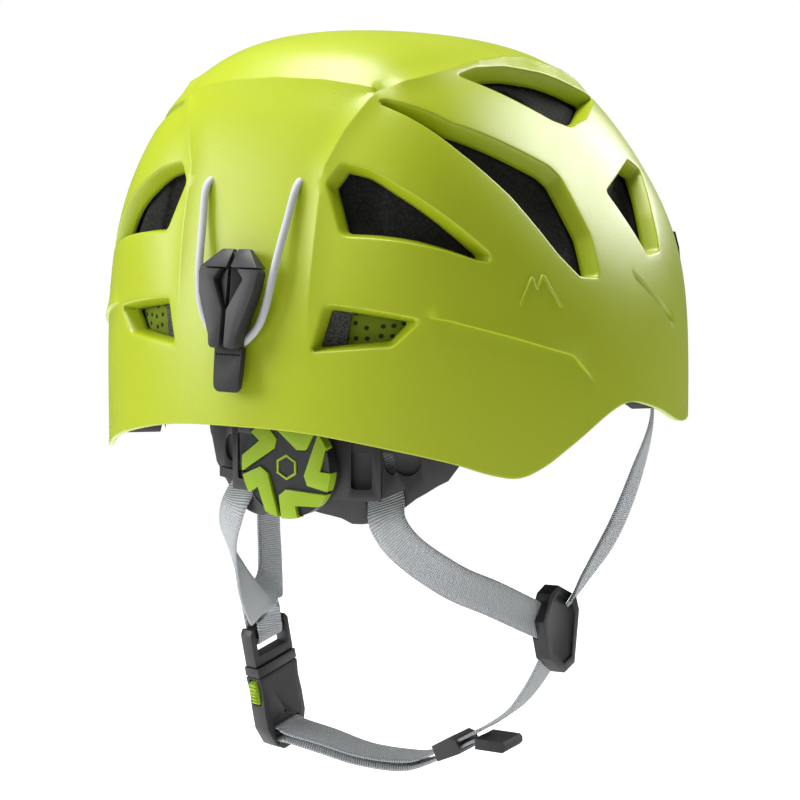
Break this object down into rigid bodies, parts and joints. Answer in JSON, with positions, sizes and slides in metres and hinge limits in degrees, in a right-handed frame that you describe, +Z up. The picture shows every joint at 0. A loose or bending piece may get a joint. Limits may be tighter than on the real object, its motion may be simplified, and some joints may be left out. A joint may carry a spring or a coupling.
{
  "type": "climbing helmet",
  "caption": "Hard-shell climbing helmet with vents, foam liner, rear headlamp hook, wheel-adjusted nape cradle and buckled webbing chin harness.",
  "frame": {"origin": "centre of the head opening in plan, level with the middle of the rear rim", "axes": "+Y to the front of the helmet, +X to the wearer's right, +Z up to the crown"},
  "size_m": [0.2402, 0.2714, 0.3251],
  "materials": {
    "lime_shell": "satin, fine grain",
    "liner_foam": "matt moulded foam",
    "black_plastic": "satin nylon",
    "grey_plastic": "satin",
    "lime_grip": "soft satin",
    "webbing": "woven",
    "elastic_cord": "braided",
    "padding": "knit",
    "pad_lime": "perforated"
  },
  "bodies": {
    "helmet": {"outer_shell": "lime_shell", "foam_liner": "liner_foam", "lamp_cord": "elastic_cord", "front_lamp_clip_left": "black_plastic", "front_lamp_clip_right": "black_plastic", "headband_front": "grey_plastic", "temple_pin_left": "grey_plastic", "temple_pin_right": "grey_plastic", "forehead_pad": "padding", "crown_pad": "padding", "vent_pad_left": "pad_lime", "vent_pad_right": "pad_lime", "vent_strip_left": "padding", "vent_strip_right": "padding", "side_strap_left": "webbing", "rear_strap_right": "webbing", "front_strap_right": "webbing", "chin_strap": "webbing", "strap_anchor_left": "black_plastic", "strap_anchor_right": "black_plastic", "strap_divider": "black_plastic", "tail_tab": "black_plastic", "buckle_plug": "black_plastic"},
    "lamp_retainer": {"lamp_hook": "black_plastic", "pull_tab": "black_plastic"},
    "cradle": {"nape_cradle": "grey_plastic", "nape_pad": "padding", "wheel_housing": "grey_plastic"},
    "wheel": {"wheel_core": "black_plastic", "wheel_grip": "lime_grip", "pinion": "grey_plastic"},
    "rack_right": {"rack_right": "grey_plastic"},
    "rack_left": {"rack_left": "grey_plastic"},
    "socket": {"buckle_socket": "black_plastic"},
    "button_front": {"release_button_front": "lime_grip"},
    "button_rear": {"release_button_rear": "lime_grip"},
    "slider": {"strap_slider": "black_plastic"}
  },
  "joints": [
    {"name": "lamp_hook_pull", "type": "slide", "parent": "helmet", "child": "lamp_retainer", "axis": [0, -0.1543, -0.988], "range_m": [0, 0.008], "stiffness_N_per_m": 400, "springref_m": -0.003, "deforming": ["lamp_cord"]},
    {"name": "cradle_tilt", "type": "hinge", "parent": "helmet", "child": "cradle", "pos_m": [0, 0.01, 0.016], "axis": [1, 0, 0], "range_deg": [-5, 8], "deforming": ["side_strap_left", "rear_strap_right"]},
    {"name": "wheel_turn", "type": "hinge", "parent": "cradle", "child": "wheel", "pos_m": [0, -0.09, -0.0205], "axis": [0, -1, 0], "range_deg": [-110, 110]},
    {"name": "rack_right_slide", "type": "hinge", "parent": "cradle", "child": "rack_right", "pos_m": [0, 0.004, -0.0205], "axis": [0, 0, 1], "range_deg": [-6.4, 6.4]},
    {"name": "rack_left_slide", "type": "hinge", "parent": "cradle", "child": "rack_left", "pos_m": [0, 0.004, -0.0205], "axis": [0, 0, 1], "range_deg": [-6.4, 6.4]},
    {"name": "buckle_release", "type": "slide", "parent": "helmet", "child": "socket", "axis": [0.0438, 0.2145, -0.9757], "range_m": [0, 0.03], "deforming": ["chin_strap"]},
    {"name": "button_front_press", "type": "slide", "parent": "socket", "child": "button_front", "axis": [-0.1951, -0.956, -0.2189], "range_m": [0, 0.0022], "stiffness_N_per_m": 600, "springref_m": -0.0005},
    {"name": "button_rear_press", "type": "slide", "parent": "socket", "child": "button_rear", "axis": [0.1951, 0.956, 0.2189], "range_m": [0, 0.0022], "stiffness_N_per_m": 600, "springref_m": -0.0005},
    {"name": "slider_shift", "type": "slide", "parent": "helmet", "child": "slider", "axis": [0.8713, 0, 0.4907], "range_m": [-0.004, 0.004]}
  ],
  "couplings": [
    {"joint": "rack_right_slide", "follows": "wheel_turn", "ratio": -0.056754},
    {"joint": "rack_left_slide", "follows": "wheel_turn", "ratio": 0.056754}
  ]
}
